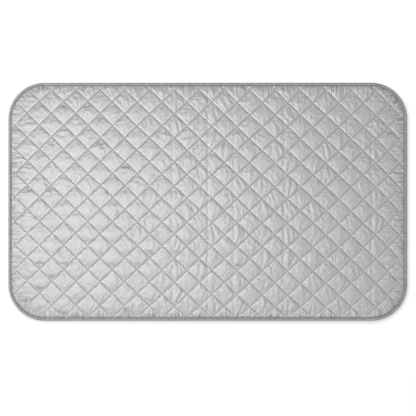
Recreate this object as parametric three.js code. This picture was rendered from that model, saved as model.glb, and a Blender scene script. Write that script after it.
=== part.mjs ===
// A quilted ironing pad: a metallised face cloth, soft wadding and a backing cloth, sewn through in two
// sets of straight rows that cross as diamonds, with a folded tape bound round the edge.
// Millimetres, +Z up. X runs along the pad, Y across it, and the pad lies on the plane z = 0.
import * as THREE from 'three';

// The pad's outline, and its height at the top of a padded diamond
const padLength = 850;
const padWidth = 507;
const cornerRadius = 77;
const padThickness = 5;
const cornerSteps = 4;

// The quilting: a diamond's two diagonals, and where one crossing lies from the pad's middle
const diamondLength = 52.9;
const diamondWidth = 51.3;
const crossingX = 12.5;
const crossingY = 8.5;
const quiltThread = 0.22;
const shortestRow = 40;
const rowSides = 6;

// The layers, and the gap that is left between one layer and the next
const clothThickness = 0.35;
const backingThickness = 0.3;
const waddingPressed = 0.6;
const layerGap = 0.04;
const borderRamp = 15;

// The binding: a tape folded in half round the edge, with its raw edges tucked in as hems
const bindingWidth = 7.5;
const undersideExtra = 0.8;
const tapePly = 0.4;
const hemSlit = 0.04;
const hemWidth = 3.6;
const foldBulge = 1.6;
const edgeRound = 0.25;
const cutEdgeClear = 0.6;
const rowTuck = 3;
const crownTuck = 2.5;
const foldSteps = 4;

// The binding's stitch line: how far in from the tape's inner edge, the thread and the dent it lies in
const stitchFromEdge = 1.5;
const bindingThread = 0.22;
const dentHalfWidth = 0.45;
const stitchSides = 5;

// Heights of the layers where they are pressed together, in the binding and along every row
const legThickness = 2 * tapePly + hemSlit;
const backingEdge = legThickness + layerGap;
const waddingEdge = backingEdge + backingThickness + layerGap;
const waddingSeam = waddingEdge + waddingPressed;
const clothSeam = waddingSeam + layerGap;
const clothFace = clothSeam + clothThickness;
const risingHeight = clothFace + layerGap + quiltThread / 2;
const fallingHeight = risingHeight + quiltThread + layerGap;
const upperLeg = fallingHeight + quiltThread / 2 + layerGap;
const tapeTop = upperLeg + legThickness;
const crown = padThickness - clothFace;

// Places measured inwards from the pad's outer edge
const cutEdge = foldBulge + cutEdgeClear;
const stitchInset = bindingWidth - stitchFromEdge;
const lowerLegWidth = bindingWidth + undersideExtra;
const rampTop = lowerLegWidth + cutEdgeClear;
const rampFoot = rampTop + borderRamp;

// Finishes
const silverCloth = new THREE.MeshStandardMaterial({ color: 0xc6c6c9, roughness: 0.42, metalness: 0.55 });
const whiteFill = new THREE.MeshStandardMaterial({ color: 0xe9e8e4, roughness: 0.95, metalness: 0 });
const greyBacking = new THREE.MeshStandardMaterial({ color: 0xb9b9bb, roughness: 0.85, metalness: 0 });
const greyTape = new THREE.MeshStandardMaterial({ color: 0x98989a, roughness: 0.7, metalness: 0 });
const greyThread = new THREE.MeshStandardMaterial({ color: 0x8e8e90, roughness: 0.6, metalness: 0 });

const pad = new THREE.Group();

function addPiece(name, geometry, material) {
  const piece = new THREE.Mesh(geometry, material);
  piece.name = name;
  pad.add(piece);
  return piece;
}

function geometryOf(positions, faces) {
  const geometry = new THREE.BufferGeometry();
  geometry.setAttribute('position', new THREE.Float32BufferAttribute(positions, 3));
  geometry.setIndex(faces);
  geometry.computeVertexNormals();
  return geometry;
}

// The pad's outline moved inwards: a rectangle with round corners, going anticlockwise
function ring(inset) {
  const x = padLength / 2 - cornerRadius;
  const y = padWidth / 2 - cornerRadius;
  const radius = cornerRadius - inset;
  const shape = new THREE.Shape();
  shape.absarc(x, y, radius, 0, Math.PI / 2);
  shape.absarc(-x, y, radius, Math.PI / 2, Math.PI);
  shape.absarc(-x, -y, radius, Math.PI, 1.5 * Math.PI);
  shape.absarc(x, -y, radius, 1.5 * Math.PI, 2 * Math.PI);
  return shape.getPoints(cornerSteps);
}

function insideOutline(x, y, inset) {
  const overX = Math.max(0, Math.abs(x) - (padLength / 2 - cornerRadius));
  const overY = Math.max(0, Math.abs(y) - (padWidth / 2 - cornerRadius));
  return Math.hypot(overX, overY) < cornerRadius - inset;
}

// Walls between neighbouring rings of a mesh, each ring having the same count of points
function wallFaces(count, fromRing, toRing) {
  const faces = [];
  for (let corner = 0; corner < count; corner += 1) {
    const beside = (corner + 1) % count;
    faces.push(fromRing + corner, fromRing + beside, toRing + beside);
    faces.push(fromRing + corner, toRing + beside, toRing + corner);
  }
  return faces;
}

// Rings of the outline, one for each [inset, height] of a section, walled together in turn
function ringStack(section) {
  const positions = [];
  const faces = [];
  let count = 0;
  section.forEach(([inset, height], level) => {
    const points = ring(inset);
    count = points.length;
    points.forEach((point) => positions.push(point.x, point.y, height));
    if (level > 0) faces.push(...wallFaces(count, (level - 1) * count, level * count));
  });
  return { positions, faces, count, last: (section.length - 1) * count };
}

// A closed section that runs all round the pad, as the binding and its threads do
function bandAround(section) {
  const { positions, faces, count, last } = ringStack(section);
  faces.push(...wallFaces(count, last, 0));
  return geometryOf(positions, faces);
}

// A flat end on a ring, facing down on the first ring of a stack and up on the last
function capFaces(count, start, facesUp) {
  const faces = [];
  for (let corner = 1; corner < count - 1; corner += 1) {
    const pair = facesUp ? [corner, corner + 1] : [corner + 1, corner];
    faces.push(start, start + pair[0], start + pair[1]);
  }
  return faces;
}

// Backing cloth: flat on the table, and lifted at the border on to the tape's lower leg
function backingCloth() {
  const { positions, faces, count, last } = ringStack([
    [rampFoot, 0],
    [rampTop, backingEdge],
    [cutEdge, backingEdge],
    [cutEdge, backingEdge + backingThickness],
    [rampTop, backingEdge + backingThickness],
    [rampFoot, backingThickness],
  ]);
  faces.push(...capFaces(count, 0, false), ...capFaces(count, last, true));
  return geometryOf(positions, faces);
}

addPiece('backing_cloth', backingCloth(), greyBacking);

// The quilting lattice has a crossing or a diamond's middle at every half diagonal
const halfX = diamondLength / 2;
const halfY = diamondWidth / 2;
const columns = Math.ceil((padLength / 2 + Math.abs(crossingX)) / halfX);
const lines = Math.ceil((padWidth / 2 + Math.abs(crossingY)) / halfY);
const latticeX = (column) => crossingX + column * halfX;
const latticeY = (line) => crossingY + line * halfY;
const tips = [[1, 0], [0, 1], [-1, 0], [0, -1]];

// Only a whole diamond is padded up: one that the binding cuts stays pressed flat
function isPadded(column, line) {
  if ((column + line) % 2 === 0) return false;
  return tips.every(([stepX, stepY]) => insideOutline(
    latticeX(column + stepX),
    latticeY(line + stepY),
    bindingWidth - crownTuck,
  ));
}

// The quilted field from above: the cut edge's ring first, then the diamonds' tips and padded middles.
// Each padded diamond has four slopes, and a flat strip joins the outer diamonds to the cut edge.
function quiltedField() {
  const points = ring(cutEdge).map((point) => ({ x: point.x, y: point.y, rise: 0 }));
  const edgeCount = points.length;
  const places = new Map();
  const placeOf = (column, line, rise) => {
    const key = `${column} ${line}`;
    if (!places.has(key)) {
      places.set(key, points.length);
      points.push({ x: latticeX(column), y: latticeY(line), rise });
    }
    return places.get(key);
  };
  const faces = [];
  const nextOnBorder = new Map();
  for (let line = -lines; line <= lines; line += 1) {
    for (let column = -columns; column <= columns; column += 1) {
      if (!isPadded(column, line)) continue;
      const middle = placeOf(column, line, 1);
      tips.forEach(([fromX, fromY], side) => {
        const [toX, toY] = tips[(side + 1) % tips.length];
        const from = placeOf(column + fromX, line + fromY, 0);
        const to = placeOf(column + toX, line + toY, 0);
        faces.push([middle, from, to]);
        if (!isPadded(column + fromX + toX, line + fromY + toY)) nextOnBorder.set(from, to);
      });
    }
  }
  const border = [nextOnBorder.keys().next().value];
  while (nextOnBorder.get(border.at(-1)) !== border[0]) border.push(nextOnBorder.get(border.at(-1)));
  const stripPlaces = [...points.keys()].slice(0, edgeCount).concat(border);
  const edge = points.slice(0, edgeCount).map(({ x, y }) => new THREE.Vector2(x, y));
  const hole = border.map((place) => new THREE.Vector2(points[place].x, points[place].y));
  THREE.ShapeUtils.triangulateShape(edge, [hole]).forEach((face) => {
    faces.push(face.map((corner) => stripPlaces[corner]));
  });
  return { points, faces, edgeCount };
}

const field = quiltedField();

function fieldPositions(seam) {
  return field.points.flatMap(({ x, y, rise }) => [x, y, seam + crown * rise]);
}

// Wadding: fills the diamonds from below, and is pressed thin under every row and in the binding
function quiltedWadding() {
  const { positions, faces, count, last } = ringStack([
    [rampFoot, backingThickness + layerGap],
    [rampTop, waddingEdge],
    [cutEdge, waddingEdge],
  ]);
  const top = last + count;
  faces.push(...capFaces(count, 0, false), ...wallFaces(count, last, top));
  faces.push(...field.faces.flat().map((place) => top + place));
  return geometryOf([...positions, ...fieldPositions(waddingSeam)], faces);
}

addPiece('wadding', quiltedWadding(), whiteFill);

// Face cloth: one sheet of even thickness over the wadding, drawn down into the channels
function quiltedCloth() {
  const top = field.points.length;
  const faces = wallFaces(field.edgeCount, 0, top);
  field.faces.forEach(([a, b, c]) => {
    faces.push(c, b, a);
    faces.push(top + a, top + b, top + c);
  });
  return geometryOf([...fieldPositions(clothSeam), ...fieldPositions(clothFace)], faces);
}

addPiece('top_cloth', quiltedCloth(), silverCloth);

// Quilting threads: straight rows along the channels, tucked under the tape at both ends
function rowEnds(row, slope) {
  const edge = ring(bindingWidth - rowTuck);
  const rowsAway = ({ x, y }) => {
    const along = (x - crossingX) / diamondLength;
    const across = (y - crossingY) / diamondWidth;
    return along - slope * across - row;
  };
  const ends = [];
  edge.forEach((point, corner) => {
    const next = edge[(corner + 1) % edge.length];
    const from = rowsAway(point);
    const to = rowsAway(next);
    if (from < 0 !== to < 0) ends.push(point.clone().lerp(next, from / (from - to)));
  });
  return ends;
}

function addRows(name, slope, height) {
  const reach = columns + lines;
  let number = 0;
  for (let row = -reach; row <= reach; row += 1) {
    const [start, end] = rowEnds(row, slope);
    const length = start ? start.distanceTo(end) : 0;
    if (length >= shortestRow) {
      number += 1;
      const thread = new THREE.CylinderGeometry(quiltThread / 2, quiltThread / 2, length, rowSides);
      const piece = addPiece(`${name}_${String(number).padStart(2, '0')}`, thread, greyThread);
      piece.position.set((start.x + end.x) / 2, (start.y + end.y) / 2, height);
      piece.rotation.z = Math.atan2(end.y - start.y, end.x - start.x) - Math.PI / 2;
    }
  }
}

// The falling rows are sewn last, so they pass over the rising ones
addRows('quilt_thread_rising', 1, risingHeight);
addRows('quilt_thread_falling', -1, fallingHeight);

// Binding tape: the section starts at the lower leg's inner edge, goes along the underside, round the outer
// fold and over the top to the upper leg's inner edge, and comes back inside round both tucked hems.
const foldMiddle = tapeTop / 2;
const bendAngles = Array.from({ length: foldSteps + 1 }, (_, step) => (1.5 - step / foldSteps) * Math.PI);
const foldArc = (inFromFace) => bendAngles.map((angle) => [
  foldBulge + (foldBulge - inFromFace) * Math.cos(angle),
  foldMiddle + (foldMiddle - inFromFace) * Math.sin(angle),
]);
const upperHem = tapeTop - tapePly - hemSlit;
const lowerHem = tapePly + hemSlit;
const dentDepth = bindingThread + layerGap;
addPiece('binding_tape', bandAround([
  [lowerLegWidth, legThickness / 2],
  [lowerLegWidth - edgeRound, 0],
  [stitchInset + dentHalfWidth, 0],
  [stitchInset, dentDepth],
  [stitchInset - dentHalfWidth, 0],
  ...foldArc(0),
  [stitchInset - dentHalfWidth, tapeTop],
  [stitchInset, tapeTop - dentDepth],
  [stitchInset + dentHalfWidth, tapeTop],
  [bindingWidth - edgeRound, tapeTop],
  [bindingWidth, tapeTop - legThickness / 2],
  [bindingWidth - edgeRound, upperLeg],
  [bindingWidth - hemWidth, upperLeg],
  [bindingWidth - hemWidth, upperHem],
  [bindingWidth - tapePly, upperHem],
  [bindingWidth - tapePly, tapeTop - tapePly],
  ...foldArc(tapePly).reverse(),
  [lowerLegWidth - tapePly, tapePly],
  [lowerLegWidth - tapePly, lowerHem],
  [lowerLegWidth - hemWidth, lowerHem],
  [lowerLegWidth - hemWidth, legThickness],
  [lowerLegWidth - edgeRound, legThickness],
]), greyTape);

// The binding's stitch line: a needle thread in the upper dent and a bobbin thread in the lower one
function threadAround(height) {
  const section = [];
  for (let side = 0; side < stitchSides; side += 1) {
    const angle = (side * 2 * Math.PI) / stitchSides;
    section.push([
      stitchInset + (bindingThread / 2) * Math.sin(angle),
      height + (bindingThread / 2) * Math.cos(angle),
    ]);
  }
  return bandAround(section);
}

addPiece('binding_needle_thread', threadAround(tapeTop - bindingThread / 2), greyThread);
addPiece('binding_bobbin_thread', threadAround(bindingThread / 2), greyThread);

export default pad;
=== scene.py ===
import math

import bpy
import numpy as np
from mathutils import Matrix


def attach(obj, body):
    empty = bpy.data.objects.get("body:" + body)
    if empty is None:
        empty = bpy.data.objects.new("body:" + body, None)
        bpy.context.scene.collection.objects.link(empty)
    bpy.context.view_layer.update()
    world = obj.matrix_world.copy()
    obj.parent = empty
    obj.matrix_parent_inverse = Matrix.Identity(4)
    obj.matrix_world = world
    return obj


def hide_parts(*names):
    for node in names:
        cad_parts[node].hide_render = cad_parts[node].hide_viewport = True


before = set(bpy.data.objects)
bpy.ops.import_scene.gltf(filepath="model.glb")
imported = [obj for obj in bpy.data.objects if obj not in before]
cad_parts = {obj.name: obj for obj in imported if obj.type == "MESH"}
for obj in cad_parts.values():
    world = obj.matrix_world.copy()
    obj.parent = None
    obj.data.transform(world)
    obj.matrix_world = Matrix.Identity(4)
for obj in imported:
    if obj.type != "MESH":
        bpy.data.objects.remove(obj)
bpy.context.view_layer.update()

scene = bpy.context.scene


# Backing cloth, the underside of the pad. A grey plain cotton weave, cut to the pad's outline.
# The quilting rows draw it up in a diamond lattice, and the binding tape closes in its edge.

pad_length = 0.850
pad_width = 0.507
corner_radius = 0.077
diamond_length = 0.0529
diamond_width = 0.0513
crossing_x = 0.0125
crossing_y = 0.0085
row_spacing = diamond_length * diamond_width / math.hypot(diamond_length, diamond_width)
lattice_reach = 14
tape_width = 0.0075

# The rows wander a little: slowly along the pad, at these places, and in small waves, each with
# its height, its turns along and across the pad, and its start. The wander fades out at the edge.
wander_from = (-0.351, -0.261, -0.172, -0.082, 0.007, 0.097, 0.186, 0.275)
wander_along = (-0.0004, -0.0030, -0.0038, -0.0034, -0.0029, -0.0018, 0.0004, 0.0030)
wander_across = (0.0015, 0.0007, 0.0, -0.0005, -0.0013, -0.0022, -0.0025, -0.0031)
waves_along = ((0.00045, 31, 17, 0.6), (0.00030, -23, 41, 2.1))
waves_across = ((0.00040, 27, -29, 1.3), (0.00030, 47, 13, 4.0))
wander_fade_ends = 0.06
wander_fade_sides = 0.05

backing_steps = 8
backing_edge = 0.0025
backing_softness = 0.005
backing_drawn_up = 0.0008
backing_at_tape = 0.00092
backing_ramp_foot = 0.024
backing_ramp = 0.015
backing_lift = 0.00005


def inset_from_edge(x, y):
    """How far a point lies inside the pad's outline, in metres."""
    beyond_x = np.abs(x) - (pad_length / 2 - corner_radius)
    beyond_y = np.abs(y) - (pad_width / 2 - corner_radius)
    outside = np.hypot(np.maximum(beyond_x, 0), np.maximum(beyond_y, 0))
    return corner_radius - outside - np.minimum(np.maximum(beyond_x, beyond_y), 0)


def ease(share):
    """A share from 0 to 1 that starts and stops softly."""
    share = np.clip(share, 0, 1)
    return share * share * (3 - 2 * share)


def drift(x, y):
    """A point of the straight lattice moved by the wander of the quilting rows."""
    along, across = (
        sum(rise * np.sin(by_x * x + by_y * y + start) for rise, by_x, by_y, start in waves)
        for waves in (waves_along, waves_across)
    )
    clear_of_end = ease((pad_length / 2 - np.abs(x)) / wander_fade_ends)
    clear_of_side = ease((pad_width / 2 - np.abs(y)) / wander_fade_sides)
    along = along + np.interp(x, wander_from, wander_along) * clear_of_end
    across = across + np.interp(x, wander_from, wander_across) * clear_of_side
    return x + along, y + across


def lattice_place(a, b):
    """The point of the pad where falling row a and rising row b cross; fractions lie between rows."""
    return crossing_x + diamond_length * (a + b) / 2, crossing_y + diamond_width * (a - b) / 2


def lattice_sheet(steps, edge, crowding=0.5):
    """A grid along the quilting rows, closer beside them, cut at an inset from the pad's edge."""
    count = 2 * lattice_reach * steps + 1
    line = np.arange(count) / steps - lattice_reach
    line = line - crowding * np.sin(2 * math.pi * line) / (2 * math.pi)
    a, b = np.meshgrid(line, line, indexing="ij")
    x, y = lattice_place(a, b)
    middle_x = (x[:-1, :-1] + x[1:, 1:]) / 2
    middle_y = (y[:-1, :-1] + y[1:, 1:]) / 2
    i, j = np.nonzero(inset_from_edge(middle_x, middle_y) > edge)
    corner = i * count + j
    faces = np.stack([corner, corner + count, corner + count + 1, corner + 1], 1)
    used, faces = np.unique(faces, return_inverse=True)
    faces = faces.reshape(-1, 4)
    a, b, x, y = (values.ravel()[used] for values in (a, b, x, y))
    first, second, _, fourth = faces[0]
    turn = (x[second] - x[first]) * (y[fourth] - y[first]) - (y[second] - y[first]) * (x[fourth] - x[first])
    if turn < 0:
        faces = faces[:, ::-1]
    rim = np.bincount(faces.ravel(), minlength=len(x)) < 4
    step = 1e-5
    for _ in range(3):
        off = np.where(rim, inset_from_edge(x, y) - edge, 0)
        slope_x = (inset_from_edge(x + step, y) - inset_from_edge(x - step, y)) / (2 * step)
        slope_y = (inset_from_edge(x, y + step) - inset_from_edge(x, y - step)) / (2 * step)
        x = x - off * slope_x
        y = y - off * slope_y
    return a, b, x, y, faces, rim


def puff(a, b, inset, softness):
    """0 on the quilting rows and at the tape, rising to nearly 1 inside each diamond."""
    from_falling = np.abs(a - np.round(a)) * row_spacing
    from_rising = np.abs(b - np.round(b)) * row_spacing
    from_tape = np.maximum(inset - tape_width, 0)
    rise = 1.0
    for distance in (from_falling, from_rising, from_tape):
        rise = rise * (1 - np.exp(-distance / softness))
    return rise


def new_piece(name, points, faces, material):
    """A smooth piece from its points, faces and material."""
    mesh = bpy.data.meshes.new(name)
    mesh.from_pydata(np.asarray(points).tolist(), [], np.asarray(faces).tolist())
    mesh.materials.append(material)
    mesh.shade_smooth()
    piece = bpy.data.objects.new(name, mesh)
    scene.collection.objects.link(piece)
    return piece


def math_node(tree, operation, first, second=None):
    """A Math node in a tree, with numbers or other nodes' outputs going in."""
    node = tree.nodes.new("ShaderNodeMath")
    node.operation = operation
    for socket, value in zip(node.inputs, (first, second)):
        if isinstance(value, (int, float)):
            socket.default_value = value
        elif value is not None:
            tree.links.new(value, socket)
    return node.outputs[0]


def woven_material(name, colour, yarn_pitch, relief, roughness, metallic=0.0, mottle=0.06, slubs=60.0):
    """A plain weave: yarns that pass over and under, with slight unevenness of colour and gloss."""
    uneven_low, uneven_high = 0.3, 0.7
    gloss_spread = 0.04
    material = bpy.data.materials.new(name)
    material.use_nodes = True
    tree = material.node_tree
    nodes, links = tree.nodes, tree.links
    shader = nodes["Principled BSDF"]
    shader.inputs["Metallic"].default_value = metallic
    place = nodes.new("ShaderNodeTexCoord")
    split = nodes.new("ShaderNodeSeparateXYZ")
    links.new(place.outputs["Object"], split.inputs[0])
    warp, weft = (
        math_node(tree, "SINE", math_node(tree, "MULTIPLY", split.outputs[axis], math.pi / yarn_pitch))
        for axis in ("X", "Y")
    )
    over = math_node(tree, "GREATER_THAN", math_node(tree, "MULTIPLY", warp, weft), 0.0)
    under = math_node(tree, "SUBTRACT", 1.0, over)
    warp_height = math_node(tree, "MULTIPLY", math_node(tree, "ABSOLUTE", warp), over)
    weft_height = math_node(tree, "MULTIPLY", math_node(tree, "ABSOLUTE", weft), under)
    height = math_node(tree, "ADD", warp_height, weft_height)
    bump = nodes.new("ShaderNodeBump")
    bump.inputs["Strength"].default_value = relief
    bump.inputs["Distance"].default_value = 0.00012
    links.new(height, bump.inputs["Height"])
    links.new(bump.outputs["Normal"], shader.inputs["Normal"])
    cloud = nodes.new("ShaderNodeTexNoise")
    cloud.inputs["Scale"].default_value = slubs
    cloud.inputs["Detail"].default_value = 3.0
    links.new(place.outputs["Object"], cloud.inputs["Vector"])
    tint = nodes.new("ShaderNodeValToRGB")
    darker, lighter = tint.color_ramp.elements
    darker.position = uneven_low
    lighter.position = uneven_high
    darker.color = [channel * (1 - mottle) for channel in colour] + [1]
    lighter.color = [min(channel * (1 + mottle), 1) for channel in colour] + [1]
    links.new(cloud.outputs["Fac"], tint.inputs["Fac"])
    links.new(tint.outputs["Color"], shader.inputs["Base Color"])
    gloss = nodes.new("ShaderNodeMapRange")
    gloss.inputs["From Min"].default_value = uneven_low
    gloss.inputs["From Max"].default_value = uneven_high
    gloss.inputs["To Min"].default_value = roughness - gloss_spread
    gloss.inputs["To Max"].default_value = roughness + gloss_spread
    links.new(cloud.outputs["Fac"], gloss.inputs["Value"])
    links.new(gloss.outputs["Result"], shader.inputs["Roughness"])
    return material


def backing_height(a, b, inset):
    """Height of the backing's lower face: low under each diamond, drawn up at rows and at the tape."""
    ramp = ease((backing_ramp_foot - inset) / backing_ramp)
    field = backing_drawn_up * (1 - puff(a, b, inset, backing_softness))
    return backing_at_tape * ramp + field * (1 - ramp)


backing_a, backing_b, backing_x, backing_y, backing_faces, _ = lattice_sheet(backing_steps, backing_edge)
backing_z = backing_height(backing_a, backing_b, inset_from_edge(backing_x, backing_y)) + backing_lift
backing_points = np.stack([*drift(backing_x, backing_y), backing_z], 1)
grey_cotton = woven_material("grey_cotton", (0.60, 0.60, 0.61), yarn_pitch=0.0007, relief=0.5, roughness=0.85)
backing = new_piece("backing_sheet", backing_points, backing_faces[:, ::-1], grey_cotton)
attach(backing, "root")
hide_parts("backing_cloth")


# Wadding, the soft filling. Bonded polyester fleece, cut a little inside the outline.
# The rows press it thin, and it swells into every diamond between the two cloths.

cloth_at_rows = 0.00215
groove_rise, groove_softness = 0.0004, 0.0004
side_rise, side_softness = 0.0003, 0.0012
crown_rise, crown_softness = 0.00145, 0.0085
crown_lowest, crown_highest = 0.75, 1.2
fleece_steps = 6
fleece_edge = 0.0028
fleece_share = 0.7
fleece_below_face = 0.0006
fleece_above_backing = 0.0003
middle_diamond = 20
diamonds_each_way = 2 * middle_diamond
on_the_row = 1e-6

diamond_grid = (diamonds_each_way, diamonds_each_way)
diamond_luck = np.random.default_rng(11).uniform(crown_lowest, crown_highest, diamond_grid)


def face_height(a, b, inset):
    """Height of the face cloth as quilted, before it is gathered: a steep-sided crown in each diamond."""
    column = np.floor(a + on_the_row).astype(int) + middle_diamond
    row = np.floor(b + on_the_row).astype(int) + middle_diamond
    rise = groove_rise * puff(a, b, inset, groove_softness) + side_rise * puff(a, b, inset, side_softness)
    rise = rise + crown_rise * diamond_luck[column, row] * puff(a, b, inset, crown_softness)
    return cloth_at_rows + rise


def fleece_height(a, b, inset):
    """Height of the wadding's top, a little under the face cloth."""
    return cloth_at_rows + (face_height(a, b, inset) - cloth_at_rows) * fleece_share - fleece_below_face


fleece_a, fleece_b, fleece_x, fleece_y, fleece_faces, _ = lattice_sheet(fleece_steps, fleece_edge)
fleece_inset = inset_from_edge(fleece_x, fleece_y)
fleece_low = backing_height(fleece_a, fleece_b, fleece_inset) + fleece_above_backing
fleece_high = fleece_height(fleece_a, fleece_b, fleece_inset)
fleece_x, fleece_y = drift(fleece_x, fleece_y)
upper = np.stack([fleece_x, fleece_y, fleece_high], 1)
lower = np.stack([fleece_x, fleece_y, fleece_low], 1)
fleece_count = len(fleece_x)
edges = np.concatenate([fleece_faces[:, [k, (k + 1) % 4]] for k in range(4)])
_, first_seen, times = np.unique(np.sort(edges, 1), axis=0, return_index=True, return_counts=True)
start, end = edges[first_seen[times == 1]].T
walls = np.stack([end, start, start + fleece_count, end + fleece_count], 1)
fleece_quads = np.concatenate([fleece_faces, fleece_faces[:, ::-1] + fleece_count, walls])

white_fleece = bpy.data.materials.new("white_fleece")
white_fleece.use_nodes = True
fleece_nodes, fleece_links = white_fleece.node_tree.nodes, white_fleece.node_tree.links
fleece_shader = fleece_nodes["Principled BSDF"]
fleece_shader.inputs["Roughness"].default_value = 0.95
fleece_place = fleece_nodes.new("ShaderNodeTexCoord")
fibres = fleece_nodes.new("ShaderNodeTexNoise")
fibres.inputs["Scale"].default_value = 700.0
fibres.inputs["Detail"].default_value = 8.0
fibres.inputs["Distortion"].default_value = 2.0
fleece_links.new(fleece_place.outputs["Object"], fibres.inputs["Vector"])
fibre_tint = fleece_nodes.new("ShaderNodeValToRGB")
fibre_tint.color_ramp.elements[0].color = (0.70, 0.70, 0.68, 1)
fibre_tint.color_ramp.elements[1].color = (0.84, 0.84, 0.82, 1)
fleece_links.new(fibres.outputs["Fac"], fibre_tint.inputs["Fac"])
fleece_links.new(fibre_tint.outputs["Color"], fleece_shader.inputs["Base Color"])
fibre_bump = fleece_nodes.new("ShaderNodeBump")
fibre_bump.inputs["Distance"].default_value = 0.0004
fleece_links.new(fibres.outputs["Fac"], fibre_bump.inputs["Height"])
fleece_links.new(fibre_bump.outputs["Normal"], fleece_shader.inputs["Normal"])

filling = new_piece("wadding_fleece", np.concatenate([upper, lower]), fleece_quads, white_fleece)
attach(filling, "root")
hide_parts("wadding")


# Face cloth, the ironing side. A woven cloth with an aluminium coat, cut longer and wider than the pad,
# quilted through in crossing rows and gathered under the tape, so that it crowns and puckers.

face_steps = 18
face_edge = 0.0035
face_crowding = 0.74

# The creases that the pad keeps from its packing run across it; the one near the middle is deepest.
deepest_fold = 0.003
pack_folds = (-0.073, deepest_fold, 0.058, 0.165, 0.352)
fold_depth = 0.0008
fold_width = 0.0028
fold_offset = 0.002
fold_softness = 0.004


def near(distance, width):
    """1 at a place, falling to 0 over a width round it."""
    return np.exp(-(distance / width) ** 2)


face_a, face_b, face_x, face_y, face_faces, face_rim = lattice_sheet(face_steps, face_edge, face_crowding)
face_inset = inset_from_edge(face_x, face_y)
face_z = face_height(face_a, face_b, face_inset)
sewn_x, sewn_y = drift(face_x, face_y)
fold_room = puff(face_a, face_b, face_inset, fold_softness)
for fold in pack_folds:
    depth = fold_depth if fold == deepest_fold else fold_depth / 2
    face_z = face_z - depth * near(sewn_x - fold + fold_offset, fold_width) * fold_room
from_falling = np.abs(face_a - np.round(face_a))
from_rising = np.abs(face_b - np.round(face_b))
on_row = (from_falling < on_the_row) | (from_rising < on_the_row)
held_fast = on_row | face_rim | (face_inset < tape_width)
from_row = np.minimum(from_falling, from_rising) * row_spacing
sewn = np.stack([sewn_x, sewn_y, face_z], 1)


def cut_diamonds():
    """Each diamond of the face as a patch of its own with its spare cloth: points, faces, sewn points."""
    spare_along, spare_along_sides, spare_along_folds = 0.030, 0.045, 0.04
    spare_across, spare_across_ends = 0.018, 0.05
    spare_tips, spare_tips_ends = 0.10, 0.04
    less_at_ends = 0.6
    ends_reach, sides_reach, folds_reach = 0.075, 0.03, 0.014
    uneven_spare, uneven_turn, uneven_height = 0.6, 0.30, 0.00012
    tip_from = 0.15 * diamond_width
    patches = diamonds_each_way ** 2
    column = np.floor(face_a[face_faces].mean(1)).astype(int) + middle_diamond
    row = np.floor(face_b[face_faces].mean(1)).astype(int) + middle_diamond
    patch = column * diamonds_each_way + row
    corner = face_faces * patches + patch[:, None]
    corner, patch_faces = np.unique(corner, return_inverse=True)
    source, patch = corner // patches, corner % patches
    to_middle = 0.5 - middle_diamond
    middle_x, middle_y = lattice_place(
        patch // diamonds_each_way + to_middle, patch % diamonds_each_way + to_middle
    )
    to_end = pad_length / 2 - np.abs(middle_x)
    to_side = pad_width / 2 - np.abs(middle_y)
    luck = np.random.default_rng(7).uniform(-1, 1, (patches, 4))[patch]
    at_end = near(to_end, ends_reach)
    at_side = near(to_side, sides_reach)
    spare_x = spare_along * (1 - less_at_ends * at_end) + spare_along_sides * at_side
    for fold in pack_folds:
        spare_x = spare_x + spare_along_folds * near(middle_x - fold, folds_reach)
    spare_y = spare_across + spare_across_ends * at_end
    spare_x = spare_x * (1 + uneven_spare * luck[:, 0])
    spare_y = spare_y * (1 + uneven_spare * luck[:, 1])
    spare_tip = np.maximum(luck[:, 3], 0) * spare_tips + spare_tips_ends * at_end
    turn = uneven_turn * luck[:, 2]
    offset_x = sewn_x[source] - middle_x
    offset_y = sewn_y[source] - middle_y
    along = (offset_x * np.cos(turn) + offset_y * np.sin(turn)) * (1 + spare_x)
    across = offset_y * np.cos(turn) - offset_x * np.sin(turn)
    across = across * (1 + spare_y) + spare_tip * np.maximum(across - tip_from, 0)
    cut_x = middle_x + along * np.cos(turn) - across * np.sin(turn)
    cut_y = middle_y + along * np.sin(turn) + across * np.cos(turn)
    unevenness = np.random.default_rng(3).normal(0, uneven_height, len(source))
    cut_z = face_z[source] + np.where(held_fast[source], 0, unevenness)
    return np.stack([cut_x, cut_y, cut_z], 1), patch_faces.reshape(-1, 4), source


silver_cloth = woven_material(
    "silver_cloth", (0.66, 0.662, 0.667), yarn_pitch=0.0008, relief=0.25, roughness=0.31,
    metallic=0.86, mottle=0.07, slubs=260.0,
)
coat = silver_cloth.node_tree
coat_nodes, coat_links = coat.nodes, coat.links
coat_shader = coat_nodes["Principled BSDF"]


def on_cloth(name):
    """A value that the face cloth carries point by point."""
    node = coat_nodes.new("ShaderNodeAttribute")
    node.attribute_name = name
    return node.outputs["Fac"]


def ridges(*directions):
    """Uneven ridges: each direction comes with its ridges to the metre, so the closest run across the rest."""
    place = coat_nodes.new("ShaderNodeCombineXYZ")
    for socket, (direction, scale) in zip(place.inputs, directions):
        coat_links.new(math_node(coat, "MULTIPLY", direction, scale), socket)
    noise = coat_nodes.new("ShaderNodeTexNoise")
    noise.inputs["Scale"].default_value = 1.0
    noise.inputs["Detail"].default_value = 0.4
    noise.inputs["Distortion"].default_value = 0.4
    coat_links.new(place.outputs["Vector"], noise.inputs["Vector"])
    return math_node(coat, "SUBTRACT", noise.outputs["Fac"], 0.5)


def vector_of(first, second):
    """Two values side by side, as a place in the plane."""
    node = coat_nodes.new("ShaderNodeCombineXYZ")
    coat_links.new(first, node.inputs["X"])
    coat_links.new(second, node.inputs["Y"])
    return node.outputs["Vector"]


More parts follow.
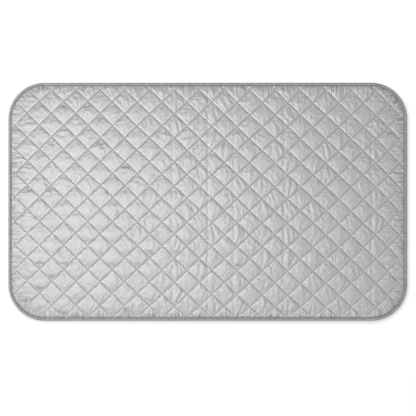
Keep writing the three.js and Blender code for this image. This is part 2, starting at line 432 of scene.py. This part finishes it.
cloth_place = coat_nodes.new("ShaderNodeTexCoord")
cloth_axes = coat_nodes.new("ShaderNodeSeparateXYZ")
coat_links.new(cloth_place.outputs["Object"], cloth_axes.inputs[0])
along_x, along_y = cloth_axes.outputs["X"], cloth_axes.outputs["Y"]
puckers = ridges((on_cloth("edge_x"), 260.0), (on_cloth("edge_y"), 220.0), (on_cloth("from_tape"), 36.0))
puckers = math_node(coat, "MULTIPLY", puckers, on_cloth("gathers"))
fine_depth = 0.5
fine = math_node(coat, "MULTIPLY", ridges((along_x, 260.0), (along_y, 150.0)), fine_depth)

row_a, row_b = on_cloth("row_a"), on_cloth("row_b")
in_a, in_b = math_node(coat, "FRACT", row_a), math_node(coat, "FRACT", row_b)
from_left = math_node(coat, "MULTIPLY", math_node(coat, "ADD", in_a, in_b), diamond_length / 2)
from_middle = math_node(coat, "MULTIPLY", math_node(coat, "SUBTRACT", in_a, in_b), diamond_width / 2)
in_diamond = vector_of(from_left, from_middle)
which_diamond = vector_of(math_node(coat, "FLOOR", row_a), math_node(coat, "FLOOR", row_b))
chance = coat_nodes.new("ShaderNodeTexWhiteNoise")
chance.noise_dimensions = "2D"
coat_links.new(which_diamond, chance.inputs["Vector"])
chances = coat_nodes.new("ShaderNodeSeparateXYZ")
coat_links.new(chance.outputs["Color"], chances.inputs[0])
ripple_wander = 0.012
wander = math_node(coat, "MULTIPLY", ridges((along_x, 110.0), (along_y, 110.0)), ripple_wander)


def ripples(tip, length, middle, reach, luck, share):
    """Curved ripples round one tip of every diamond, strong in a few diamonds and faint in most."""
    most_turns, few_strong = 40.0, 1.5
    span = coat_nodes.new("ShaderNodeVectorMath")
    span.operation = "DISTANCE"
    span.inputs[1].default_value = tip
    coat_links.new(in_diamond, span.inputs[0])
    far = math_node(coat, "ADD", span.outputs["Value"], wander)
    wave = math_node(coat, "MULTIPLY", far, 2 * math.pi / length)
    wave = math_node(coat, "ADD", wave, math_node(coat, "MULTIPLY", luck, most_turns))
    away = math_node(coat, "MULTIPLY", math_node(coat, "SUBTRACT", far, middle), 1 / reach)
    away = math_node(coat, "MULTIPLY", away, away)
    fade = math_node(coat, "EXPONENT", math_node(coat, "MULTIPLY", away, -1.0))
    strength = math_node(coat, "MULTIPLY", math_node(coat, "POWER", luck, few_strong), on_cloth(share))
    strength = math_node(coat, "MULTIPLY", fade, strength)
    return math_node(coat, "MULTIPLY", math_node(coat, "SINE", wave), strength)


# Each tip has its ripples' length, how far from the tip they are deepest, and how far they spread.
left_tip = (0, 0, 0)
upper_tip = (diamond_length / 2, diamond_width / 2, 0)
lower_tip = (diamond_length / 2, -diamond_width / 2, 0)
at_left = ripples(left_tip, 0.0078, 0.016, 0.0065, chances.outputs["X"], "left_share")
at_top = ripples(upper_tip, 0.0047, 0.013, 0.0055, chances.outputs["Y"], "upper_share")
at_bottom = ripples(lower_tip, 0.0047, 0.012, 0.005, chances.outputs["Z"], "lower_share")
at_tips = math_node(coat, "ADD", math_node(coat, "ADD", at_left, at_top), at_bottom)
ripple_depth = 0.36
fine = math_node(coat, "ADD", fine, math_node(coat, "MULTIPLY", at_tips, ripple_depth))
crinkles = coat_nodes.new("ShaderNodeBump")
crinkles.inputs["Strength"].default_value = 1.0
crinkles.inputs["Distance"].default_value = 0.001
slack = math_node(coat, "SUBTRACT", 1.0, on_cloth("drawn_tight"))
relief = math_node(coat, "MULTIPLY", math_node(coat, "ADD", puckers, fine), slack)
coat_links.new(relief, crinkles.inputs["Height"])
weave_bump = coat_shader.inputs["Normal"].links[0].from_node
coat_links.new(crinkles.outputs["Normal"], weave_bump.inputs["Normal"])
loose_gloss = coat_shader.inputs["Roughness"].links[0].from_socket
tight_gloss = 0.6
smoother = math_node(coat, "SUBTRACT", 1.0, math_node(coat, "MULTIPLY", on_cloth("drawn_tight"), tight_gloss))
coat_links.new(math_node(coat, "MULTIPLY", loose_gloss, smoother), coat_shader.inputs["Roughness"])


def edge_place(x, y):
    """The point of the pad's outline that lies nearest."""
    half_x = pad_length / 2 - corner_radius
    half_y = pad_width / 2 - corner_radius
    beyond_x = np.abs(x) - half_x
    beyond_y = np.abs(y) - half_y
    away = np.maximum(np.hypot(beyond_x, beyond_y), 1e-6)
    in_corner = (beyond_x > 0) & (beyond_y > 0)
    by_end = beyond_x > beyond_y
    straight_x = np.where(by_end, pad_length / 2, np.abs(x))
    straight_y = np.where(by_end, np.abs(y), pad_width / 2)
    edge_x = np.where(in_corner, half_x + corner_radius * beyond_x / away, straight_x)
    edge_y = np.where(in_corner, half_y + corner_radius * beyond_y / away, straight_y)
    return edge_x * np.sign(x), edge_y * np.sign(y)


# The cloth is gathered by a simulation at ten times its size: every diamond starts at its cut size
# and is drawn in to its sewn size, held fast along the rows and loosely inside.
gather_frames = 8
settle_frames = 16
sim_scale = 10.0
least_hold, more_hold, hold_width = 0.3, 0.65, 0.0035
largest_move = 0.0022
calm_at_rows, calm_width = 0.85, 0.0032
above_fleece = 0.0002

cut, patch_faces, source = cut_diamonds()
sample = new_piece("gathering_cloth", cut * sim_scale, patch_faces, silver_cloth)
sample.shape_key_add(name="cut")
sewn_key = sample.shape_key_add(name="sewn")
sewn_key.data.foreach_set("co", (sewn[source] * sim_scale).astype(np.float32).ravel())
sewn_key.value = 0
sewn_key.keyframe_insert("value", frame=1)
sewn_key.value = 1
sewn_key.keyframe_insert("value", frame=gather_frames)
holding = sample.vertex_groups.new(name="holding")
hold = np.where(held_fast, 1.0, least_hold + more_hold * near(from_row, hold_width))
for point, share in enumerate(hold[source].tolist()):
    holding.add([point], share, "REPLACE")
gather = sample.modifiers.new("gather", "CLOTH")
gather.settings.quality = 4
gather.settings.mass = 0.05
gather.settings.air_damping = 4
gather.settings.tension_stiffness = 30
gather.settings.compression_stiffness = 30
gather.settings.shear_stiffness = 10
gather.settings.bending_stiffness = 0.03
gather.settings.vertex_group_mass = "holding"
gather.settings.effector_weights.gravity = 0
gather.collision_settings.use_collision = False
gather.collision_settings.use_self_collision = False
gather.point_cache.frame_end = settle_frames
for moment in range(1, settle_frames + 1):
    scene.frame_set(moment)
    bpy.context.evaluated_depsgraph_get()
settled = sample.evaluated_get(bpy.context.evaluated_depsgraph_get()).data
patch_points = np.empty(len(settled.vertices) * 3, np.float32)
settled.vertices.foreach_get("co", patch_points)
gathered = np.empty_like(sewn)
gathered[source] = patch_points.reshape(-1, 3) / sim_scale
move = gathered - sewn
length = np.linalg.norm(move, axis=1, keepdims=True)
move = move * np.minimum(1, largest_move / np.maximum(length, 1e-9))
gathered = sewn + move * (1 - calm_at_rows * near(from_row, calm_width))[:, None]
gathered[held_fast] = sewn[held_fast]
gathered[:, 2] = np.maximum(gathered[:, 2], fleece_height(face_a, face_b, face_inset) + above_fleece)
scene.frame_set(1)
sample_mesh, sample_keys = sample.data, sample.data.shape_keys
gather_action = sample_keys.animation_data.action
bpy.data.objects.remove(sample)
bpy.data.meshes.remove(sample_mesh)
bpy.data.actions.remove(gather_action)

# Under the tape the cloth stays low, and it rises at a slope from the tape's inner edge.
low_under_tape = 0.0023
rise_from_tape = 0.9
tape_clear = 0.0006
from_outline = inset_from_edge(gathered[:, 0], gathered[:, 1])
under_tape = low_under_tape + rise_from_tape * np.maximum(from_outline - tape_width - tape_clear, 0)
gathered[:, 2] = np.minimum(gathered[:, 2], under_tape)
face = new_piece("silver_face", gathered, face_faces, silver_cloth)

# The cloth carries, point by point, where it is tight, how deeply it puckers beside the tape, and
# its share of the ripples. Those at upper tips are strongest toward the left, the ends and the top,
# those at lower tips toward the bottom and the left end, and those at left tips away from the left.
tight_width = 0.0026
reach_at_ends, reach_at_sides = 0.020, 0.011
depth_at_left, depth_at_right, depth_at_sides = 3.0, 4.4, 4.0
tip_ripples = 1.3
to_end = pad_length / 2 - np.abs(face_x)
to_side = pad_width / 2 - np.abs(face_y)
from_tape = np.maximum(face_inset - tape_width, 0)
by_end = to_end < to_side
gather_reach = np.where(by_end, reach_at_ends, reach_at_sides)
gather_depth = np.where(by_end, np.where(face_x < 0, depth_at_left, depth_at_right), depth_at_sides)
edge_x, edge_y = edge_place(face_x, face_y)
toward_left = np.clip((0.05 - face_x) / 0.25, 0, 1)
toward_top = np.clip((face_y + 0.12) / 0.2, 0, 1)
upper_share = (0.55 + 0.45 * np.maximum(toward_left, near(to_end, 0.1))) * (0.2 + 0.8 * toward_top)
lower_share = np.clip(-face_y / 0.12, 0, 1) * 0.8 + 0.4 * near(face_x + pad_length / 2, 0.12)
left_share = 1 - 0.85 * np.clip((-0.10 - face_x) / 0.15, 0, 1)
left_share = left_share * (1 - 0.6 * toward_top * np.clip((face_x - 0.1) / 0.15, 0, 1))
for name, values in (
    ("drawn_tight", near(from_row, tight_width)),
    ("edge_x", edge_x),
    ("edge_y", edge_y),
    ("from_tape", from_tape),
    ("gathers", np.exp(-from_tape / gather_reach) * gather_depth),
    ("row_a", face_a + middle_diamond),
    ("row_b", face_b + middle_diamond),
    ("left_share", left_share),
    ("upper_share", upper_share * tip_ripples),
    ("lower_share", lower_share * tip_ripples),
):
    carried = face.data.attributes.new(name, "FLOAT", "POINT")
    carried.data.foreach_set("value", values.astype(np.float32))
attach(face, "root")
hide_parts("top_cloth")


# Quilting needle threads, one row of lockstitch after another in two crossing directions.
# Grey polyester thread, pulled down into the cloth and coloured darker than it is, a painted shade for the
# groove it lies in; each row ends under the binding tape.

stitch_pitch = 0.0042
stitch_shown = 0.79
thread_width = 0.00042
thread_height = 0.00036
rows_end = 0.0045
shortest_row = 0.04
rising_lift = 0.00008
falling_lift = 0.00014


def thread_material(name, colour):
    """A twisted thread: slanting bands of the colour and a darker shade of it."""
    material = bpy.data.materials.new(name)
    material.use_nodes = True
    nodes, links = material.node_tree.nodes, material.node_tree.links
    shader = nodes["Principled BSDF"]
    shader.inputs["Roughness"].default_value = 0.55
    place = nodes.new("ShaderNodeTexCoord")
    twist = nodes.new("ShaderNodeTexWave")
    twist.bands_direction = "DIAGONAL"
    twist.inputs["Scale"].default_value = 900.0
    twist.inputs["Distortion"].default_value = 0.5
    links.new(place.outputs["Object"], twist.inputs["Vector"])
    tint = nodes.new("ShaderNodeValToRGB")
    tint.color_ramp.elements[0].color = [channel * 0.8 for channel in colour] + [1]
    tint.color_ramp.elements[1].color = list(colour) + [1]
    links.new(twist.outputs["Fac"], tint.inputs["Fac"])
    links.new(tint.outputs["Color"], shader.inputs["Base Color"])
    bump = nodes.new("ShaderNodeBump")
    bump.inputs["Strength"].default_value = 0.4
    bump.inputs["Distance"].default_value = 0.00005
    links.new(twist.outputs["Fac"], bump.inputs["Height"])
    links.new(bump.outputs["Normal"], shader.inputs["Normal"])
    return material


def stitch_tree():
    """Lays one small stitch after another along the edges of a mesh."""
    tree = bpy.data.node_groups.new("lockstitch_rows", "GeometryNodeTree")
    tree.interface.new_socket("Rows", in_out="INPUT", socket_type="NodeSocketGeometry")
    for name in ("Stitch pitch", "Stitch length", "Thread width", "Thread height"):
        tree.interface.new_socket(name, in_out="INPUT", socket_type="NodeSocketFloat")
    tree.interface.new_socket("Seed", in_out="INPUT", socket_type="NodeSocketInt")
    tree.interface.new_socket("Thread", in_out="INPUT", socket_type="NodeSocketMaterial")
    tree.interface.new_socket("Stitches", in_out="OUTPUT", socket_type="NodeSocketGeometry")
    nodes, links = tree.nodes, tree.links
    sizes = nodes.new("NodeGroupInput")
    lines = nodes.new("GeometryNodeMeshToCurve")
    links.new(sizes.outputs["Rows"], lines.inputs["Mesh"])
    spaced = nodes.new("GeometryNodeResampleCurve")
    spaced.mode = "LENGTH"
    links.new(lines.outputs["Curve"], spaced.inputs["Curve"])
    links.new(sizes.outputs["Stitch pitch"], spaced.inputs["Length"])
    stitch = nodes.new("GeometryNodeMeshUVSphere")
    stitch.inputs["Segments"].default_value = 6
    stitch.inputs["Rings"].default_value = 4
    stitch.inputs["Radius"].default_value = 0.5
    turned = nodes.new("GeometryNodeTransform")
    turned.inputs["Rotation"].default_value = (0, math.pi / 2, 0)
    links.new(stitch.outputs["Mesh"], turned.inputs["Geometry"])
    along = nodes.new("GeometryNodeInputTangent")
    turn = nodes.new("FunctionNodeAlignRotationToVector")
    turn.axis = "X"
    links.new(along.outputs["Tangent"], turn.inputs["Vector"])
    uneven = nodes.new("FunctionNodeRandomValue")
    uneven.data_type = "FLOAT"
    uneven.inputs[2].default_value = 0.92
    uneven.inputs[3].default_value = 1.08
    links.new(sizes.outputs["Seed"], uneven.inputs["Seed"])
    shown = math_node(tree, "MULTIPLY", sizes.outputs["Stitch length"], uneven.outputs[1])
    shape = nodes.new("ShaderNodeCombineXYZ")
    links.new(shown, shape.inputs["X"])
    links.new(sizes.outputs["Thread width"], shape.inputs["Y"])
    links.new(sizes.outputs["Thread height"], shape.inputs["Z"])
    laid = nodes.new("GeometryNodeInstanceOnPoints")
    links.new(spaced.outputs["Curve"], laid.inputs["Points"])
    links.new(turned.outputs["Geometry"], laid.inputs["Instance"])
    links.new(turn.outputs["Rotation"], laid.inputs["Rotation"])
    links.new(shape.outputs["Vector"], laid.inputs["Scale"])
    real = nodes.new("GeometryNodeRealizeInstances")
    links.new(laid.outputs["Instances"], real.inputs["Geometry"])
    finish = nodes.new("GeometryNodeSetMaterial")
    links.new(real.outputs["Geometry"], finish.inputs["Geometry"])
    links.new(sizes.outputs["Thread"], finish.inputs["Material"])
    result = nodes.new("NodeGroupOutput")
    links.new(finish.outputs["Geometry"], result.inputs["Stitches"])
    return tree


lockstitch = stitch_tree()


def sew(name, lines, sizes, thread):
    """Stitches along lines of points, as one plain mesh."""
    points, edges = [], []
    for line in lines:
        start = len(points)
        points.extend(np.asarray(line).tolist())
        edges.extend((start + k, start + k + 1) for k in range(len(line) - 1))
    mesh = bpy.data.meshes.new(name)
    mesh.from_pydata(points, edges, [])
    piece = bpy.data.objects.new(name, mesh)
    rows = piece.modifiers.new("lockstitch", "NODES")
    rows.node_group = lockstitch
    values = dict(sizes, Thread=thread)
    for socket in lockstitch.interface.items_tree:
        if socket.in_out == "INPUT" and socket.name in values:
            rows[socket.identifier] = values[socket.name]
    scene.collection.objects.link(piece)
    evaluated = piece.evaluated_get(bpy.context.evaluated_depsgraph_get())
    sewn_mesh = bpy.data.meshes.new_from_object(evaluated)
    piece.modifiers.clear()
    piece.data = sewn_mesh
    bpy.data.meshes.remove(mesh)
    sewn_mesh.shade_smooth()
    return piece


def row_lines(rising, height, lift, end_inset):
    """The quilting rows of one direction as lines of points, a lift above a cloth's height."""
    steps_to_diamond, steps_to_point, least_points = 200, 40, 8
    run = np.linspace(-lattice_reach, lattice_reach, 2 * lattice_reach * steps_to_diamond + 1)
    lines = []
    for number in range(-lattice_reach, lattice_reach + 1):
        same = np.full_like(run, number)
        a, b = (run, same) if rising else (same, run)
        x, y = lattice_place(a, b)
        inside = np.nonzero(inset_from_edge(x, y) > end_inset)[0]
        if len(inside) == 0:
            continue
        first, last = inside[0], inside[-1]
        if math.hypot(x[last] - x[first], y[last] - y[first]) < shortest_row:
            continue
        count = max(least_points, (last - first) // steps_to_point)
        picks = np.linspace(first, last, count).astype(int)
        level = height(a[picks], b[picks], inset_from_edge(x[picks], y[picks])) + lift
        lines.append(np.stack([*drift(x[picks], y[picks]), level], 1))
    return lines


def seam_height(a, b, inset):
    """Height of the face cloth along the rows, where it is sewn down."""
    return np.full_like(inset, cloth_at_rows)


# The thread's grey is darker than the real thread's: painted shade for the groove it lies in.
grey_thread_with_painted_shade = thread_material("grey_thread_with_painted_shade", (0.18, 0.18, 0.184))
quilt_sizes = {
    "Stitch pitch": stitch_pitch,
    "Stitch length": stitch_shown * stitch_pitch,
    "Thread width": thread_width,
    "Thread height": thread_height,
}
for way, rising, lift, seed in (("rising", True, rising_lift, 1), ("falling", False, falling_lift, 2)):
    lines = row_lines(rising, seam_height, lift, rows_end)
    rows = sew("quilting_rows_" + way, lines, dict(quilt_sizes, Seed=seed), grey_thread_with_painted_shade)
    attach(rows, "root")
    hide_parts(*[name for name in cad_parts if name.startswith("quilt_thread_" + way)])


# Quilting bobbin threads, the lower half of each lockstitch. White polyester thread on the underside,
# in the grooves that the rows draw into the backing.

bobbin_rows_end = 0.009
bobbin_lift = -0.0001
white_thread = thread_material("white_thread", (0.66, 0.65, 0.62))
for name, rising in (("bobbin_rows_rising", True), ("bobbin_rows_falling", False)):
    lines = row_lines(rising, backing_height, bobbin_lift, bobbin_rows_end)
    bobbin_rows = sew(name, lines, dict(quilt_sizes, Seed=3), white_thread)
    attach(bobbin_rows, "root")


# Binding tape. A grey woven tape folded double round the edge with its raw edges tucked in, and sewn
# through near its inner edge. It is eased round the corners, so its inner edge puckers there.

tape_fold = 0.0016
tape_side = 0.0013
tape_step, tape_corner_step = 0.0012, 0.0006
stitch_inset = 0.0061
wanted_pitch = 0.0047
perimeter = 2 * (pad_length + pad_width) - 8 * corner_radius + 2 * math.pi * corner_radius
sewn_round = perimeter - 2 * math.pi * stitch_inset
binding_pitch = sewn_round / round(sewn_round / wanted_pitch)


def edge_walk(straight_step, corner_step):
    """Points round the pad's outline with the inward direction at each; steps can be shorter at corners."""
    straight_x = pad_length - 2 * corner_radius
    straight_y = pad_width - 2 * corner_radius
    quarter = corner_radius * math.pi / 2
    lengths = [straight_y, quarter, straight_x, quarter, straight_y, quarter, straight_x, quarter]
    ends = np.cumsum(lengths)
    steps = [straight_step, corner_step] * 4
    counts = [round(length / step) for length, step in zip(lengths, steps)]
    run = np.concatenate(
        [end - length + np.arange(count) * length / count for end, length, count in zip(ends, lengths, counts)]
    )
    x, y, in_x, in_y = (np.zeros(len(run)) for _ in range(4))
    half_x, half_y = straight_x / 2, straight_y / 2
    sides = [
        ((half_x + corner_radius, -half_y), (0, 1), (-1, 0)),
        ((half_x, half_y), 0.0, None),
        ((half_x, half_y + corner_radius), (-1, 0), (0, -1)),
        ((-half_x, half_y), 0.5, None),
        ((-half_x - corner_radius, half_y), (0, -1), (1, 0)),
        ((-half_x, -half_y), 1.0, None),
        ((-half_x, -half_y - corner_radius), (1, 0), (0, 1)),
        ((half_x, -half_y), 1.5, None),
    ]
    for k, (start, direction, inward) in enumerate(sides):
        here = (run < ends[k] - 1e-9) & (run >= ends[k] - lengths[k] - 1e-9)
        way = run[here] - (ends[k] - lengths[k])
        if inward is None:
            angle = direction * math.pi + way / corner_radius
            x[here] = start[0] + corner_radius * np.cos(angle)
            y[here] = start[1] + corner_radius * np.sin(angle)
            in_x[here], in_y[here] = -np.cos(angle), -np.sin(angle)
        else:
            x[here] = start[0] + direction[0] * way
            y[here] = start[1] + direction[1] * way
            in_x[here], in_y[here] = inward
    return run, x, y, in_x, in_y


def tape_section():
    """The folded tape cut across: inset from the edge and height, from the lower tucked edge to the upper."""
    lower_hem = [(0.0047, 0.00060), (0.0065, 0.00062), (0.0079, 0.00062), (0.0083, 0.00034)]
    lower_leg = [(0.0079, 0.00004), (0.0062, 0.00010), (0.0045, 0.00002), (0.0028, 0.0)]
    fold = []
    for angle in np.linspace(-90, 0, 6):
        turn = math.radians(angle)
        fold.append((tape_fold - tape_fold * math.cos(turn), tape_side + tape_side * math.sin(turn)))
    shoulder = [(0.0002, 0.00162), (0.0006, 0.00206), (0.0011, 0.00250), (0.0016, 0.00288)]
    shoulder += [(0.0021, 0.00320), (0.0026, 0.00346), (0.0031, 0.00360)]
    ridge = [(0.0037, 0.00366), (0.0043, 0.00364), (0.0048, 0.00350), (0.0052, 0.00310)]
    groove = [(0.0056, 0.00262), (stitch_inset, 0.00242), (0.0065, 0.00254), (0.0068, 0.00284)]
    inner_edge = [(0.0071, 0.00304), (0.0073, 0.00302), (0.0075, 0.00276)]
    upper_hem = [(0.0073, 0.00244), (0.0060, 0.00232), (0.0039, 0.0027)]
    return np.array(lower_hem + lower_leg + fold + shoulder + ridge + groove + inner_edge + upper_hem)


# The tape's inner edge sways, and its top puckers and puffs up between the stitches, most at the
# corners. A sway has its width, its turns round the pad and its start.
sways = ((0.00022, 19, 0.4), (0.00018, 47, 1.9), (0.00012, 113, 0.0))
puff_at_corners, puff_on_straights = 0.0011, 0.0001
pucker_at_corners, pucker_on_straights = 0.00025, 0.00018
pucker_length = 0.0051
groove_width = 0.0011
top_from, top_full = 0.0026, 0.0004
inner_from, inner_full = 0.0015, 0.005

run, walk_x, walk_y, inward_x, inward_y = edge_walk(tape_step, tape_corner_step)
tape_steps = len(run)
section = tape_section()
past_straight_x = np.abs(walk_x) > pad_length / 2 - corner_radius
past_straight_y = np.abs(walk_y) > pad_width / 2 - corner_radius
at_corner = past_straight_x & past_straight_y
turns = run / perimeter * 2 * math.pi
sway = sum(wide * np.sin(times_round * turns + start) for wide, times_round, start in sways)
stitch_x = walk_x + inward_x * stitch_inset
stitch_y = walk_y + inward_y * stitch_inset
sewn_length = np.concatenate([[0], np.cumsum(np.hypot(np.diff(stitch_x), np.diff(stitch_y)))])
between = 0.5 - 0.5 * np.cos(2 * math.pi * sewn_length / binding_pitch)
puff_up = between * np.where(at_corner, puff_at_corners, puff_on_straights)
pucker_depth = np.where(at_corner, pucker_at_corners, pucker_on_straights)
pucker = np.sin(run * 2 * math.pi / pucker_length + 2.0 * np.sin(run * 23)) * pucker_depth
over_top = np.clip((section[:, 1] - top_from) / top_full, 0, 1)
inner = np.clip((section[:, 0] - inner_from) / inner_full, 0, 1)
in_groove = near(section[:, 0] - stitch_inset, groove_width)
tape_inset = section[None, :, 0] + inner[None, :] * sway[:, None] * over_top[None, :]
tape_lift = pucker[:, None] * inner[None, :] + puff_up[:, None] * in_groove[None, :]
tape_x = walk_x[:, None] + inward_x[:, None] * tape_inset
tape_y = walk_y[:, None] + inward_y[:, None] * tape_inset
tape_z = section[None, :, 1] + over_top[None, :] * tape_lift
tape_points = np.stack([tape_x, tape_y, tape_z], 2).reshape(-1, 3)
ring_points = len(section)
ring = np.arange(tape_steps)[:, None] * ring_points
next_ring = (np.arange(tape_steps)[:, None] + 1) % tape_steps * ring_points
across = np.arange(ring_points - 1)[None, :]
tape_faces = np.stack(
    [ring + across, next_ring + across, next_ring + across + 1, ring + across + 1], 2
).reshape(-1, 4)
grey_tape = woven_material(
    "grey_tape", (0.50, 0.50, 0.505), yarn_pitch=0.0006, relief=0.3, roughness=0.42,
    metallic=0.45, mottle=0.16, slubs=160.0,
)
tape = new_piece("edge_tape", tape_points, tape_faces, grey_tape)
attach(tape, "root")
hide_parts("binding_tape")


# Binding threads, one line of lockstitch round the pad. Grey polyester thread coloured nearly black and drawn
# wide, a painted shade for its stitch holes; needle side on top and bobbin side beneath, sunk into the tape
# near its inner edge.

needle_level = 0.00260
bobbin_level = 0.00022
line_step = 0.003
# Nearly black and wide, the thread also stands for the shade in its stitch holes and groove: painted shade.
binding_thread_with_painted_shade = thread_material("binding_thread_with_painted_shade", (0.035, 0.035, 0.037))
binding_sizes = {
    "Stitch pitch": binding_pitch,
    "Stitch length": 0.6 * binding_pitch,
    "Thread width": 0.0011,
    "Thread height": 0.00045,
    "Seed": 5,
}
_, line_x, line_y, line_in_x, line_in_y = edge_walk(line_step, line_step)
line_x = line_x + line_in_x * stitch_inset
line_y = line_y + line_in_y * stitch_inset
for name, level, node in (
    ("binding_stitches_top", needle_level, "binding_needle_thread"),
    ("binding_stitches_under", bobbin_level, "binding_bobbin_thread"),
):
    line = np.stack([line_x, line_y, np.full_like(line_x, level)], 1)
    line = np.concatenate([line, line[:1]])
    binding_stitches = sew(name, [line], binding_sizes, binding_thread_with_painted_shade)
    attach(binding_stitches, "root")
    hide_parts(node)


# Floor and light. A plain pale floor that shows white, with the pad's soft shadow both cast by the lamps and
# painted into its glow; a broad soft lamp over the left half, a smaller lamp at the upper left, and a pale
# surround that is brightest overhead and toward the lower left.

floor_reach = 20
floor_level = -0.0002
floor_glow = 0.60
painted_shadow_reach = 0.010
painted_shadow_depth = 2.0
toward_lamp = (-0.30, 0.72, 0.63)

floor_mesh = bpy.data.meshes.new("floor")
floor_corners = [(-1, -1), (1, -1), (1, 1), (-1, 1)]
floor_points = [(x * floor_reach, y * floor_reach, floor_level) for x, y in floor_corners]
floor_mesh.from_pydata(floor_points, [], [(0, 1, 2, 3)])
floor = bpy.data.objects.new("floor", floor_mesh)
scene.collection.objects.link(floor)
pale_floor = bpy.data.materials.new("pale_floor")
pale_floor.use_nodes = True
floor_tree = pale_floor.node_tree
floor_nodes, floor_links = floor_tree.nodes, floor_tree.links
floor_shader = floor_nodes["Principled BSDF"]
floor_shader.inputs["Base Color"].default_value = (0.60, 0.60, 0.60, 1)
floor_shader.inputs["Roughness"].default_value = 0.9
floor_shader.inputs["Emission Color"].default_value = (1, 1, 1, 1)
seen = floor_nodes.new("ShaderNodeLightPath")
either = math_node(floor_tree, "MAXIMUM", seen.outputs["Is Camera Ray"], seen.outputs["Is Glossy Ray"])
any_of_three = math_node(floor_tree, "MAXIMUM", either, seen.outputs["Is Transmission Ray"])
glow = math_node(floor_tree, "MULTIPLY", any_of_three, floor_glow)
# The floor's glow is dimmed by occlusion from the pad, aimed toward the upper left and squared: a painted
# shadow beside the pad, added to the shadow the lamps cast on the floor's diffuse part.
slant = floor_nodes.new("ShaderNodeCombineXYZ")
for socket, share in zip(slant.inputs, toward_lamp):
    socket.default_value = share
shade = floor_nodes.new("ShaderNodeAmbientOcclusion")
shade.inputs["Distance"].default_value = painted_shadow_reach
floor_links.new(slant.outputs["Vector"], shade.inputs["Normal"])
deeper = math_node(floor_tree, "POWER", shade.outputs["AO"], painted_shadow_depth)
floor_links.new(math_node(floor_tree, "MULTIPLY", glow, deeper), floor_shader.inputs["Emission Strength"])
floor_mesh.materials.append(pale_floor)

world = bpy.data.worlds.new("pale_surround")
world.use_nodes = True
scene.world = world
world_nodes, world_links = world.node_tree.nodes, world.node_tree.links
surround = world_nodes["Background"]
surround.inputs["Color"].default_value = (1, 1, 1, 1)
brightest_way = (-0.22, -0.32, 0.922)
horizon_level, brightest_level = 0.15, 0.75
look = world_nodes.new("ShaderNodeTexCoord")
way_up = world_nodes.new("ShaderNodeVectorMath")
way_up.operation = "DOT_PRODUCT"
way_up.inputs[1].default_value = brightest_way
world_links.new(look.outputs["Generated"], way_up.inputs[0])
level_of = world_nodes.new("ShaderNodeMapRange")
level_of.inputs["From Max"].default_value = 1.0
level_of.inputs["To Min"].default_value = horizon_level
level_of.inputs["To Max"].default_value = brightest_level
world_links.new(way_up.outputs["Value"], level_of.inputs["Value"])
world_links.new(level_of.outputs["Result"], surround.inputs["Strength"])

soft_lamp = bpy.data.lights.new("soft_lamp", "AREA")
soft_lamp.shape = "RECTANGLE"
soft_lamp.size = 1.5
soft_lamp.size_y = 0.70
soft_lamp.energy = 2.36
lamp = bpy.data.objects.new("soft_lamp", soft_lamp)
lamp.location = (-0.60, -0.05, 1.6)
lamp.visible_camera = False
scene.collection.objects.link(lamp)

side_lamp = bpy.data.lights.new("side_lamp", "AREA")
side_lamp.shape = "DISK"
side_lamp.size = 0.5
side_lamp.energy = 13.0
side = bpy.data.objects.new("side_lamp", side_lamp)
side.location = (-1.45, 0.65, 1.0)
side.rotation_euler = (-side.location).to_track_quat("-Z", "Y").to_euler()
side.visible_camera = False
side.visible_glossy = False
scene.collection.objects.link(side)


# Camera. Straight above the pad with a long lens, framed as the photograph is: the middle of the
# picture lies a little below the pad's middle.

lens = 100.0
sensor = 36.0
view_width = 0.8855
view_middle_x, view_middle_y = 0.0007, -0.0136
pad_top = 0.005
camera_data = bpy.data.cameras.new("camera")
camera_data.lens = lens
camera_data.sensor_width = sensor
camera_data.clip_end = 50
camera = bpy.data.objects.new("camera", camera_data)
camera.location = (view_middle_x, view_middle_y, view_width * lens / sensor + pad_top)
scene.collection.objects.link(camera)
scene.camera = camera
scene.view_settings.view_transform = "Standard"
